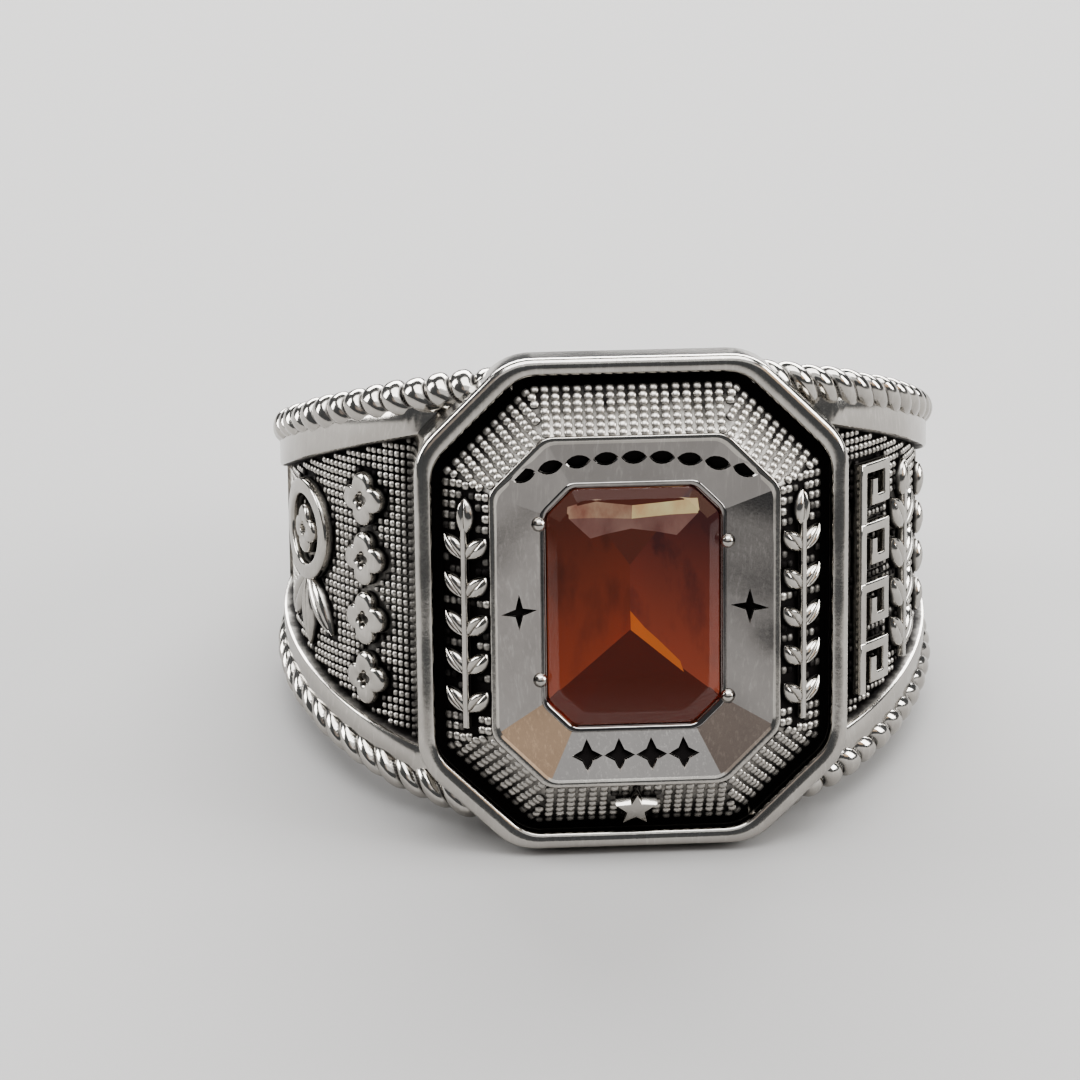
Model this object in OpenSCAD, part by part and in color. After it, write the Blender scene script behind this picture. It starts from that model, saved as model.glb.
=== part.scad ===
// Cast class ring with a raised octagonal bezel and a cut-corner stone.
// It lies on its side: the finger hole points up and the bezel faces the front (-Y).
// The ring is drawn in its own hoop frame (finger axis on Z, bezel towards -Y),
// and one move at the end lays it down on the table.

/* [Finger hole] */
// Diameter of the finger hole
bore_d = 19.8; // [17:0.1:22]

/* [Band] */
// Wall behind the finger, opposite the bezel
back_wall = 1.8; // [1.4:0.1:2.4]
// Wall that the band's circle would have under the bezel
front_wall = 3.14; // [2.6:0.02:3.6]
// Width of the band behind the finger
back_width = 6; // [4.5:0.1:8]
// Width of the shoulders where they meet the bezel, without the rope edges
shoulder_width = 16.6; // [15:0.1:17]
// How late the shoulders start to widen (1 is a straight taper)
taper_power = 1.75; // [1.2:0.01:2.2]

/* [Shoulders] */
// Diameter of the knuckles that make up the rope edge
rope_d = 1.24; // [1:0.02:1.4]
// Spacing of the knuckles along the edge
rope_pitch = 1.04; // [0.9:0.01:1.3]
// How far the knuckles stand out of the band, outwards and sideways
rope_proud = 0.26; // [0.15:0.01:0.35]
// Width of the flat rail between the rope edge and the panel
rail_w = 1; // [0.7:0.05:1.4]
// Depth of the sunk panel under the rails
panel_depth = 0.45; // [0.3:0.05:0.6]
// Angle from the bezel's centre at which the panel ends
panel_end = 102; // [85:1:105]
// Angle from the bezel's centre at which the rope edge fades out
rope_end = 118; // [110:1:125]
// Height of the raised ornaments over the panel
relief_h = 0.4; // [0.2:0.05:0.6]
// Length of the ringed flower with its leaves on the left shoulder
rosette_l = 6.4; // [5.4:0.1:7]
// Length of the sprig on the right shoulder
sprig_l = 7.6; // [6:0.1:8]
// Width of that sprig
sprig_w = 2.2; // [1.6:0.1:2.4]

/* [Bezel] */
// Width of the bezel across the finger
head_w = 15.5; // [14:0.1:17]
// Length of the bezel along the finger
head_l = 18.04; // [17.8:0.02:19]
// Corner cut of the bezel, measured across the finger
head_corner_w = 3.37; // [2.6:0.01:4]
// Corner cut of the bezel, measured along the finger
head_corner_l = 3.27; // [2.6:0.01:4]
// Height of the rim over the finger hole
rim_rise = 3.3; // [2.8:0.05:3.8]
// Width of the polished rim
rim_w = 0.64; // [0.4:0.02:0.9]
// Bevel along the rim's outer edge
rim_bevel = 0.14; // [0.06:0.02:0.3]
// Upright height of the bezel's outer wall before it turns in to the finger
rim_wall = 1.4; // [0.8:0.05:1.8]
// How far that wall turns in for each millimetre towards the finger
wall_turn = 0.6; // [0.3:0.05:0.9]
// Width of the blackened channel inside the rim
channel_w = 0.4; // [0.2:0.02:0.6]
// Depth of the channel under the rim
channel_depth = 0.75; // [0.5:0.05:1]
// How far the foot of the sloping border lies under the rim
slope_sink = 0.35; // [0.1:0.05:0.45]

/* [Face plate] */
// Width of the raised plate across the finger
plate_w = 10.32; // [9:0.02:11]
// Length of the raised plate along the finger
plate_l = 12.78; // [11.5:0.02:13.4]
// Corner cut of the plate
plate_corner = 1.94; // [1.4:0.02:2.4]
// Height of the plate's lip over the finger hole
plate_rise = 4.28; // [3.9:0.02:4.6]
// Width of the plate's lip
lip_w = 0.16; // [0.1:0.02:0.3]
// Drop from the lip to the edge of the stone
hopper_drop = 0.89; // [0.5:0.01:1.1]
// Depth of the cut marks in the plate
mark_depth = 0.18; // [0.1:0.01:0.3]
// Height of the raised ornaments on the sloping border
border_relief = 0.4; // [0.15:0.05:0.5]

/* [Stone] */
// Width of the stone across the finger
stone_w = 6.15; // [5:0.05:6.6]
// Length of the stone along the finger
stone_l = 8.65; // [7.4:0.05:9]
// Corner cut of the stone
stone_corner = 0.95; // [0.6:0.05:1.3]
// Height of the crown over the girdle
crown_h = 0.3; // [0.15:0.05:0.5]
// Width of the crown facets, seen from the front
crown_w = 0.38; // [0.2:0.02:0.7]
// Thickness of the girdle
girdle_t = 0.14; // [0.08:0.02:0.3]
// Depth of the pavilion under the girdle
pavilion_d = 2.1; // [1.5:0.05:2.2]
// Length of the keel under the stone
keel_l = 2.4; // [1:0.1:3.4]
// Clearance around the stone in its seat
stone_gap = 0.06; // [0.04:0.01:0.1]
// Diameter of the four bead prongs
bead_d = 0.54; // [0.4:0.02:0.6]

/* [Hidden] */

bore_r = bore_d / 2;
back_y = bore_r + back_wall;                      // outside of the band behind the finger
rail_r = bore_r + (front_wall + back_wall) / 2;   // the band's outside is one circle,
band_shift = (front_wall - back_wall) / 2;        // set a little towards the bezel
rope_reach = rail_r + rope_proud;
panel_r = rail_r - panel_depth;
rope_r = rope_d / 2;

rim_h = bore_r + rim_rise;                        // heights are measured from the finger axis
wall_h = rim_h - rim_wall;
channel_h = rim_h - channel_depth;
foot_h = rim_h - slope_sink;
plate_h = bore_r + plate_rise;
girdle_h = plate_h - hopper_drop;
clear_h = plate_h + 3;                            // in front of everything
deep_h = bore_r - 2;                              // inside the finger hole

head = [head_w / 2, head_l / 2, head_corner_w, head_corner_l];
rim_in = inset(head, rim_w);
foot = inset(rim_in, channel_w);
plate = [plate_w / 2, plate_l / 2, plate_corner, plate_corner];
lip_in = inset(plate, lip_w);
girdle = [stone_w / 2, stone_l / 2, stone_corner, stone_corner];
opening = inset(girdle, -stone_gap);
table = inset(girdle, crown_w);

// The ring rests on the back edge of the bezel's wall and on the back of the band.
rest_tilt = atan2((head_l - back_width) / 2, wall_h + back_y);
lift = head_l / 2 * cos(rest_tilt) - wall_h * sin(rest_tilt);
front_reach = max(plate_h * cos(rest_tilt) + plate_l / 2 * sin(rest_tilt),
                  (rim_h - rim_bevel) * cos(rest_tilt) + head_l / 2 * sin(rest_tilt));
back_reach = back_y * cos(rest_tilt) + back_width / 2 * sin(rest_tilt);

knuckle_step = rope_pitch / rope_reach * 180 / PI;
rope_start = asin((head[0] - head[2]) / rope_reach) + knuckle_step / 2;
knuckles = floor((rope_end - rope_start) / knuckle_step);

arc_fn = 96;
bead_fn = 24;
sunk = 0.3;                                       // how deep raised work is rooted in its ground

// An eight-sided outline is [half width, half length, corner across, corner along].
function inset(o, d) =
    let (cut = d * (o[2] + o[3] - sqrt(o[2] * o[2] + o[3] * o[3])) / (o[2] + o[3]))
    [o[0] - d, o[1] - d, o[2] - cut, o[3] - cut];
function outline(o) = [
    [o[0], o[3] - o[1]], [o[0], o[1] - o[3]], [o[0] - o[2], o[1]], [o[2] - o[0], o[1]],
    [-o[0], o[1] - o[3]], [-o[0], o[3] - o[1]], [o[2] - o[0], -o[1]], [o[0] - o[2], -o[1]]];
function beyond(near, far) = [for (i = [0:3]) 2 * near[i] - far[i]];
function mix(a, b, t) = a + (b - a) * t;

// Half width of the band at a place y along the hoop, without the rope edges
function band_half(y) =
    let (t = max(0, (back_y - y) / (2 * back_y)))
    min(mix(back_width / 2, shoulder_width / 2, pow(t, taper_power)), head_l / 2 - rope_proud - 0.1);

// Turns the face's own axes (across, along, height) into the hoop frame
module on_face() { rotate([90, 0, 0]) children(); }

module prism(o, low_h, high_h) {
    translate([0, 0, low_h]) linear_extrude(high_h - low_h) polygon(outline(o));
}

// Solid between two eight-sided outlines at two heights
module frustum(low, low_h, high, high_h) {
    polyhedron(
        points = concat([for (p = outline(low)) [p[0], p[1], low_h]],
                        [for (p = outline(high)) [p[0], p[1], high_h]]),
        faces = concat([[for (i = [0:7]) i]], [[for (i = [7:-1:0]) 8 + i]],
                       [for (i = [0:7]) [i, 8 + i, 8 + (i + 1) % 8, (i + 1) % 8]]));
}

// Side view of the band, run through across the hoop, narrower by cut on each side
module band_profile(cut, from_y, to_y) {
    steps = 14;
    ys = [for (i = [0:steps]) mix(from_y, to_y, i / steps)];
    upper = [for (y = ys) [y, band_half(y) - cut]];
    lower = [for (i = [steps:-1:0]) [ys[i], cut - band_half(ys[i])]];
    rotate([90, 0, 90]) linear_extrude(4 * rail_r, center = true) polygon(concat(upper, lower));
}

module hoop_disc(r, h) {
    translate([0, -band_shift, 0]) cylinder(r = r, h = h, center = true, $fn = arc_fn);
}

// Raises a flat drawing out of the shoulder, at an angle from the bezel's centre
module raise_on_band(angle, along) {
    translate([0, -band_shift, 0]) rotate([0, 0, angle]) translate([0, sunk - panel_r, along])
        rotate([90, 0, 0]) linear_extrude(sunk + relief_h + 1) children();
}

// Leaf of two arcs that meet in a point at each end
module leaf(l, w) {
    bow = (l * l / 4 + w * w / 4) / w;
    intersection() {
        translate([0, bow - w / 2]) circle(r = bow, $fn = arc_fn);
        translate([0, w / 2 - bow]) circle(r = bow, $fn = arc_fn);
    }
}

module star(points, r, r_in) {
    polygon([for (i = [0:2 * points - 1])
        let (a = 90 + i * 180 / points, reach = i % 2 == 0 ? r : r_in)
        [reach * cos(a), reach * sin(a)]]);
}

module quatrefoil(size) {
    for (turn = [0:90:270]) rotate(turn) translate([0.26 * size, 0]) circle(r = 0.23 * size, $fn = arc_fn);
    rotate(45) square(0.3 * size, center = true);
}

// Sprig of paired leaves on a stem, growing along +Y of its own plane
module sprig(l, w, pairs) {
    step = l / (pairs + 1);
    translate([0, -step / 4]) square([0.14 * w, l - step / 2], center = true);
    for (i = [0:pairs - 1], side = [-1, 1])
        translate([side * 0.25 * w, step * (i + 0.7) - l / 2])
            rotate(90 - side * 36) leaf(0.74 * w, 0.42 * w);
    translate([0, l / 2 - step * 0.5]) rotate(90) leaf(step, 0.42 * w);
}

// One hook of a Greek key, drawn with square strokes
module key_hook(size, line) {
    path = [[-0.5, -0.5], [-0.5, 0.5], [0.5, 0.5], [0.5, -0.3], [-0.05, -0.3], [-0.05, 0.08]];
    for (i = [0:len(path) - 2]) {
        a = path[i] * (size - line);
        b = path[i + 1] * (size - line);
        translate([min(a[0], b[0]) - line / 2, min(a[1], b[1]) - line / 2])
            square([abs(a[0] - b[0]) + line, abs(a[1] - b[1]) + line]);
    }
}

// Running Greek key: hooks one above the other that spring from one bar
module key_border(size, line, row, count) {
    l = (count - 1) * row + size;
    for (i = [0:count - 1]) translate([0, (size - l) / 2 + i * row]) key_hook(size, line);
    translate([-size / 2, -l / 2]) square([line, l]);
}

// Ring with a flower in it, and three leaves spread under it
module ringed_flower(l, line) {
    r = 0.3 * l;
    leaf_l = l - 2 * r + line / 2;
    translate([0, l / 2 - r]) {
        difference() {
            circle(r = r, $fn = arc_fn);
            circle(r = r - line, $fn = arc_fn);
        }
        quatrefoil(1.45 * (r - line));
    }
    for (turn = [-42, 0, 42])
        translate([0, leaf_l - l / 2]) rotate(turn - 90) translate([leaf_l / 2, 0]) leaf(leaf_l, 0.36 * leaf_l);
}

module band_body() {
    front_y = rope_reach + band_shift + 1;
    difference() {
        intersection() {
            hoop_disc(rail_r, 2 * head_l);
            band_profile(0, -front_y, back_y + 0.5);
        }
        // sunk panels on both shoulders
        intersection() {
            difference() {
                hoop_disc(rope_reach + 1, 2 * head_l);
                hoop_disc(panel_r, 2 * head_l + 1);
            }
            band_profile(rope_d + rail_w - rope_proud, -front_y - 1, -band_shift - panel_r * cos(panel_end));
        }
        // room for the bezel
        on_face() prism(head, wall_h, clear_h);
    }
}

// Rows of knuckles along both edges of both shoulders, smaller past the end of the panel
module rope_edge() {
    for (side = [-1, 1], edge = [-1, 1], i = [0:knuckles]) {
        angle = rope_start + i * knuckle_step;
        r = rope_r * (1 - 0.5 * pow(max(0, (angle - panel_end) / (rope_end - panel_end)), 2));
        at = rail_r + rope_proud * r / rope_r - r;
        y = -band_shift - at * cos(angle);
        along = band_half(y) + rope_proud * r / rope_r - r;
        translate([side * at * sin(angle), y, edge * along]) sphere(r = r, $fn = bead_fn);
    }
}

// Raised ornaments on the shoulders, their tops rounded to the band's own curve
module shoulder_relief() {
    row = 2.25;
    intersection() {
        hoop_disc(panel_r + relief_h, head_l);
        union() {
            for (i = [-1.5:1.5]) raise_on_band(-51, i * row - 0.3) quatrefoil(2.05);
            raise_on_band(-71, -0.1) ringed_flower(rosette_l, 0.6);
            raise_on_band(50, -0.3) key_border(1.95, 0.4, row, 4);
            raise_on_band(63, -0.2) sprig(sprig_l, sprig_w, 4);
            for (i = [-1.5:1.5]) raise_on_band(76, i * 1.5) rotate(90) leaf(1.3, 0.8);
        }
    }
}

module bezel() {
    // rim, and the wall that turns in to the finger under it
    difference() {
        intersection() {
            on_face() union() {
                prism(head, deep_h, rim_h - rim_bevel);
                frustum(head, rim_h - rim_bevel, inset(head, rim_bevel), rim_h);
            }
            inner_l = head_l / 2 - wall_turn * (wall_h - deep_h);
            rotate([90, 0, 90]) linear_extrude(2 * head_w, center = true)
                polygon([[-clear_h, -head_l / 2], [-clear_h, head_l / 2], [-wall_h, head_l / 2],
                         [-deep_h, inner_l], [-deep_h, -inner_l], [-wall_h, -head_l / 2]]);
        }
        on_face() prism(rim_in, channel_h, clear_h);
    }
    // sloping border and plate
    difference() {
        on_face() union() {
            prism(foot, channel_h - sunk, foot_h);
            frustum(foot, foot_h, plate, plate_h);
            intersection() {
                frustum(foot, foot_h + border_relief, plate, plate_h + border_relief);
                translate([0, 0, channel_h]) linear_extrude(plate_h - channel_h) border_ornaments();
            }
        }
        on_face() union() {
            hopper();
            intersection() {
                translate([0, 0, -mark_depth]) hopper();
                translate([0, 0, channel_h]) linear_extrude(clear_h - channel_h) plate_marks();
            }
        }
    }
}

// The plate's eight facets fall from the lip to the stone.
module hopper() { frustum(opening, girdle_h, beyond(lip_in, opening), 2 * plate_h - girdle_h); }

// Sprigs on the two long sides of the sloping border, and a small star below the plate
module border_ornaments() {
    side_mid = (foot[0] + plate[0]) / 2;
    end_mid = (foot[1] + plate[1]) / 2;
    side_l = plate_l - 2 * plate_corner - 0.5;
    for (side = [-1, 1]) translate([side * side_mid, 0]) sprig(side_l, foot[0] - plate[0] - 0.12, 5);
    translate([0, -end_mid]) star(5, 0.78, 0.35);
}

// Marks cut in the plate: a four-pointed star on each side, leaves above and diamonds below
module plate_marks() {
    side_mid = (plate[0] + girdle[0]) / 2;
    end_mid = (plate[1] + girdle[1]) / 2;
    for (side = [-1, 1]) translate([side * side_mid, 0]) star(4, 0.66, 0.19);
    arc_r = 15;
    for (i = [-4:4]) {
        a = i * 3.8;
        translate([arc_r * sin(a), end_mid + 0.2 - arc_r * (1 - cos(a))]) rotate(-a) leaf(0.92, 0.54);
    }
    for (i = [-1.5:1.5]) translate([i * 1.16, -end_mid]) star(4, 0.56, 0.26);
}

module bead_prongs() {
    r = bead_d / 2;
    // side of the stone, and place along it as a share of the stone's length
    for (spot = [[-1, 0.36], [-1, -0.3], [1, 0.27], [1, -0.39]])
        on_face() translate([spot[0] * (opening[0] + 0.86 * r), spot[1] * stone_l, girdle_h + 0.4 * r])
            sphere(r = r, $fn = bead_fn);
}

// Roof-shaped underside of the stone: eight facets that meet in a keel
module pavilion(o, top_h, depth) {
    keel = [[0, -keel_l / 2, top_h - depth], [0, keel_l / 2, top_h - depth]];
    polyhedron(
        points = concat([for (p = outline(o)) [p[0], p[1], top_h]], keel),
        faces = [[7, 6, 5, 4, 3, 2, 1, 0], [0, 1, 9, 8], [1, 2, 9], [2, 3, 9], [3, 4, 9],
                 [4, 5, 8, 9], [5, 6, 8], [6, 7, 8], [7, 0, 8]]);
}

module stone_seat() {
    on_face() union() {
        prism(opening, girdle_h - girdle_t, plate_h);
        pavilion(opening, girdle_h - girdle_t, pavilion_d * (1 + stone_gap / girdle[0]));
    }
}

// Lays the ring on the table, with the middle of its outline over the origin
module at_rest() {
    translate([0, (front_reach - back_reach) / 2, lift]) rotate([-rest_tilt, 0, 0]) children();
}

module ring_body() {
    color("silver") at_rest() {
        difference() {
            union() {
                band_body();
                rope_edge();
                shoulder_relief();
                bezel();
            }
            stone_seat();
            cylinder(r = bore_r, h = 2 * head_l, center = true, $fn = arc_fn);
        }
        bead_prongs();
    }
}

module stone() {
    color("orangered") at_rest() on_face() {
        frustum(girdle, girdle_h, table, girdle_h + crown_h);
        prism(girdle, girdle_h - girdle_t, girdle_h);
        pavilion(girdle, girdle_h - girdle_t, pavilion_d);
    }
}

ring_body();
stone();
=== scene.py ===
# A cast silver class ring with a cut orange-red stone, lying on its side on a pale floor.
# Everything is drawn in the hoop frame, in millimetres: finger axis on Z, bezel towards -Y.
# place() lays it down on the floor and turns it to metres, as the CAD parts are.
import math
import random

import bmesh
import bpy
from mathutils import Matrix, Vector
from mathutils.geometry import delaunay_2d_cdt
from mathutils.kdtree import KDTree


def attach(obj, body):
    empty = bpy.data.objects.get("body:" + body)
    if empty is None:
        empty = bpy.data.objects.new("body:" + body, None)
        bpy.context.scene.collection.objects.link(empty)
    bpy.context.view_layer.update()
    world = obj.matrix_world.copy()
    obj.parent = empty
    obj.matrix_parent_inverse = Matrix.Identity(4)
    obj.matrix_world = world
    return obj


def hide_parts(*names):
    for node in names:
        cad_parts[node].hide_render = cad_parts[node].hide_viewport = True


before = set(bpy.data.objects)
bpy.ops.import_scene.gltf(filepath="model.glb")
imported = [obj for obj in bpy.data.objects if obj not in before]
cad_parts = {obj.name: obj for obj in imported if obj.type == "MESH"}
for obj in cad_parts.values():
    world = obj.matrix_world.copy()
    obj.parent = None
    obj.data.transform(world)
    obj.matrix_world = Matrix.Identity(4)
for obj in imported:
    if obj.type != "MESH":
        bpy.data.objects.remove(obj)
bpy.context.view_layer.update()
print("frame loaded:", sorted(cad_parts))

# the hoop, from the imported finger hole
hoop = {
    "bore": 9.9,            # radius of the finger hole
    "backWall": 1.8,
    "frontWall": 3.14,
    "backWidth": 6.0,
    "shoulderWidth": 16.6,
    "taperPower": 1.75,
    "insideHead": 0.36,     # the shoulders end this far inside the bezel's length
}
# octagons are [half width, half length, corner across, corner along]
bezelSizes = {
    "head": [7.75, 9.02, 3.37, 3.27],
    "rimRise": 3.3,         # above the finger hole
    "rimWidth": 0.64,
    "wall": 1.4,            # upright below the rim
    "wallTurn": 0.6,        # and then turned in by this for each mm down
    "channelWidth": 0.4,
    "channelDepth": 0.75,
    "slopeSink": 0.35,      # the sloping border starts this far below the rim
    "plate": [5.16, 6.39, 1.94, 1.94],
    "plateRise": 4.28,
    "lip": 0.16,            # the plate's flat edge
    "hopperDrop": 0.89,     # from there its facets fall to the stone
}
stoneSizes = {
    "girdle": [3.075, 4.325, 0.95, 0.95],
    "crownHeight": 0.18,
    "crownWidth": 0.38,
    "girdleThickness": 0.14,
    "pavilion": 2.1,        # depth of its underside
    "keel": 2.4,
    "gap": 0.06,            # round it in its seat
    "corner": 0.55,         # rounding of its cut corners in plan
    "edge": 0.03,
}

backY = hoop["bore"] + hoop["backWall"]
railRadius = hoop["bore"] + (hoop["frontWall"] + hoop["backWall"]) / 2
bandShift = (hoop["frontWall"] - hoop["backWall"]) / 2
rimTop = hoop["bore"] + bezelSizes["rimRise"]
wallFoot = rimTop - bezelSizes["wall"]
channelFloor = rimTop - bezelSizes["channelDepth"]
slopeFoot = rimTop - bezelSizes["slopeSink"]
plateTop = hoop["bore"] + bezelSizes["plateRise"]
girdleHeight = plateTop - bezelSizes["hopperDrop"]


def mix(a, b, t):
    return a + (b - a) * t


def mixAll(a, b, t):
    return [mix(x, y, t) for x, y in zip(a, b)]


def insetBy(shape, d):
    w, l, cutW, cutL = shape
    cut = d * (cutW + cutL - math.hypot(cutW, cutL)) / (cutW + cutL)
    return [w - d, l - d, cutW - cut, cutL - cut]


rimInner = insetBy(bezelSizes["head"], bezelSizes["rimWidth"])
foot = insetBy(rimInner, bezelSizes["channelWidth"])
plate = bezelSizes["plate"]
lipInner = insetBy(plate, bezelSizes["lip"])
girdle = stoneSizes["girdle"]
opening = insetBy(girdle, -stoneSizes["gap"])

# it lies on the lower edge of the bezel's wall and on the back of the hoop
restTilt = math.atan2(bezelSizes["head"][1] - hoop["backWidth"] / 2, wallFoot + backY)
restLift = bezelSizes["head"][1] * math.cos(restTilt) - wallFoot * math.sin(restTilt)
frontReach = plateTop * math.cos(restTilt) + plate[1] * math.sin(restTilt)
backReach = backY * math.cos(restTilt) + hoop["backWidth"] / 2 * math.sin(restTilt)
restShift = (frontReach - backReach) / 2


def turned(v):
    x, y, z = v
    c, s = math.cos(restTilt), math.sin(restTilt)
    return Vector((x, y * c + z * s, z * c - y * s))


def place(v):
    return (turned(v) + Vector((0, restShift, restLift))) / 1000


def onFace(u, v, h):
    return (u, -h, v)


def bandHalf(y):
    t = max(0.0, (backY - y) / (2 * backY))
    wide = mix(hoop["backWidth"] / 2, hoop["shoulderWidth"] / 2, t ** hoop["taperPower"])
    return min(wide, bezelSizes["head"][1] - hoop["insideHead"])


# building meshes: a piece gathers points, faces, and how far each point is worn bright, which in a few places
# also carries painted shade
def newPiece():
    return {"points": [], "faces": [], "worn": [], "slots": []}


def addFace(piece, face, slot=0):
    piece["faces"].append(tuple(face))
    piece["slots"].append(slot)


def addLoft(piece, rows, worn, closedRow=True, closedRun=False, slots=None, capEnds=False):
    start = len(piece["points"])
    n = len(rows[0])
    for row, wornRow in zip(rows, worn):
        piece["points"] += row
        piece["worn"] += wornRow
    runs = len(rows) if closedRun else len(rows) - 1
    steps = n if closedRow else n - 1
    for i in range(runs):
        for j in range(steps):
            a = start + i * n + j
            b = start + i * n + (j + 1) % n
            c = start + (i + 1) % len(rows) * n + (j + 1) % n
            d = start + (i + 1) % len(rows) * n + j
            addFace(piece, (a, b, c, d), slots[i][j] if slots else 0)
    if capEnds:
        addFace(piece, reversed(range(start, start + n)))
        addCap(piece, n)


def addCap(piece, n):
    # closes the last row of a loft with one flat face
    start = len(piece["points"]) - n
    addFace(piece, range(start, start + n))


def addFan(piece, n, tip, worn, slot=0):
    # closes the last row of a loft to a point
    start = len(piece["points"]) - n
    piece["points"].append(tuple(tip))
    piece["worn"].append(worn)
    for k in range(n):
        addFace(piece, (start + k, start + (k + 1) % n, start + n), slot)


def makePiece(piece, name, materials, sharpDegrees, recalc=True, weighted=False,
              stands="ring_body"):
    # it stands in the place of that CAD solid
    mesh = bpy.data.meshes.new(name)
    mesh.from_pydata([place(p) for p in piece["points"]], [], piece["faces"])
    for material in materials:
        mesh.materials.append(material)
    mesh.polygons.foreach_set("material_index", piece["slots"])
    mesh.attributes.new("worn", "FLOAT", "POINT").data.foreach_set("value", piece["worn"])
    if recalc:
        shape = bmesh.new()
        shape.from_mesh(mesh)
        bmesh.ops.recalc_face_normals(shape, faces=shape.faces)
        shape.to_mesh(mesh)
        shape.free()
    mesh.polygons.foreach_set("use_smooth", [True] * len(mesh.polygons))
    mesh.set_sharp_from_angle(angle=math.radians(sharpDegrees))
    obj = bpy.data.objects.new(name, mesh)
    bpy.context.scene.collection.objects.link(obj)
    if weighted:
        obj.modifiers.new("even normals", "WEIGHTED_NORMAL").keep_sharp = True
    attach(obj, "root")
    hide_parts(stands)
    print("made", name, len(mesh.polygons), "faces")


# plan outlines
cornerSteps = 6         # along each rounded corner
sideSteps = 6           # and between two corners


def octagonCorners(shape):
    w, l, cutW, cutL = shape
    return [(w, cutL - l), (w, l - cutL), (w - cutW, l), (cutW - w, l),
            (-w, l - cutL), (-w, cutL - l), (cutW - w, -l), (w - cutW, -l)]


def octagonSides(shape):
    # both ends of each side, and the way out of it
    corners = [Vector(c) for c in octagonCorners(shape)]
    sides = []
    for a, b in zip(corners, corners[1:] + corners[:1]):
        along = (b - a).normalized()
        sides.append((a, b, Vector((along.y, -along.x))))
    return sides


def roundedOctagon(shape, radius):
    corners = [Vector(c) for c in octagonCorners(shape)]
    arcs = []
    for i, corner in enumerate(corners):
        back = corners[i - 1] - corner
        ahead = corners[(i + 1) % 8] - corner
        reach = radius * math.tan((math.pi - back.angle(ahead)) / 2)
        reach = min(reach, 0.45 * back.length, 0.45 * ahead.length)
        first = corner + back.normalized() * reach
        last = corner + ahead.normalized() * reach
        arcs.append([first * (1 - t) ** 2 + corner * 2 * t * (1 - t) + last * t * t
                     for t in [k / cornerSteps for k in range(cornerSteps + 1)]])
    points = []
    for i, arc in enumerate(arcs):
        points += arc
        nextStart = arcs[(i + 1) % 8][0]
        points += [arc[-1].lerp(nextStart, k / sideSteps) for k in range(1, sideSteps)]
    return points


# a profile row is octagon + [height, plan rounding, worn]; a soft corner is eased with a curve
def easedProfile(rows, steps=5):
    out = [rows[0][0]]
    for i in range(1, len(rows) - 1):
        (before, _), (here, soft), (after, _) = rows[i - 1], rows[i], rows[i + 1]
        if soft <= 0:
            out.append(here)
            continue
        spanA = math.hypot(before[0] - here[0], before[4] - here[4])
        spanB = math.hypot(after[0] - here[0], after[4] - here[4])
        first = mixAll(here, before, min(0.48, soft / spanA))
        last = mixAll(here, after, min(0.48, soft / spanB))
        for k in range(steps + 1):
            t = k / steps
            out.append(mixAll(mixAll(first, here, t), mixAll(here, last, t), t))
    out.append(rows[-1][0])
    return out


def addOctagonLoft(piece, profile, slots=None):
    rows = []
    worn = []
    for *shape, height, rounding, level in profile:
        rows.append([onFace(*q, height) for q in roundedOctagon(shape, rounding)])
        worn.append([level] * len(rows[0]))
    addLoft(piece, rows, worn, slots=[[s] * len(rows[0]) for s in slots] if slots else None)


# materials
def hexColour(text):
    def linear(c):
        return c / 12.92 if c <= 0.04045 else ((c + 0.055) / 1.055) ** 2.4
    return (*[linear(int(text[i:i + 2], 16) / 255) for i in (1, 3, 5)], 1.0)


def addNode(tree, kind, inputs, **settings):
    # an input is a value, a socket, or a node whose first live output is meant
    node = tree.nodes.new("ShaderNode" + kind)
    for key, value in settings.items():
        setattr(node, key, value)
    for key, value in inputs.items():
        if isinstance(value, bpy.types.Node):
            value = next(socket for socket in value.outputs if socket.enabled)
        if isinstance(value, bpy.types.NodeSocket):
            tree.links.new(value, node.inputs[key])
        else:
            node.inputs[key].default_value = value
    return node


def newMaterial(name):
    material = bpy.data.materials.new(name)
    material.use_nodes = True
    material.node_tree.nodes.clear()
    return material, material.node_tree


silverLook = {
    "bright": "#c2bfb9",
    "worn": "#9a9691",        # handled silver, slightly grey
    "faceTone": "#9b9895",        # a darker silver tone for the face plate
    "faceToneWorn": "#7f7c7a",
    "scratchGlint": "#efece6",
    "oxide": "#1d1b1b",       # liver-of-sulphur black left in the recesses
    "oxideRoughness": 0.62,
    "patchMm": 0.7,           # the oxide ends in ragged patches of this size
    "buffed": [0.15, 0.7],    # worn levels between which it gives way to metal
    "cloudMm": 2.5,           # handled spots, a little duller
    "cloudDull": 0.1,
    "scratchMm": 2.2,         # length of the polishing scratches
    "scratchThin": 15.0,      # how many times longer than wide they are
    "scratchTurns": [0.1, 0.8],
    "glintStreak": [0.56, 0.72],   # only the strongest scratches get a painted glint
    "grainMm": 0.16,
    "waveMm": 2.3,            # hand-buffed faces are never quite flat
    "wave": 0.42,
    # roughness, how strong the scratches and the casting grain are, and the tones of the metal
    "finishes": {
        "polished sterling silver": [0.09, 0.2, 0.1, "bright", "worn"],
        "scuffed sterling silver": [0.06, 0.12, 0.04, "faceTone", "faceToneWorn"],
        "oxidised cast sterling silver": [0.26, 0.1, 0.5, "bright", "worn"],
    },
}
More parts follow.
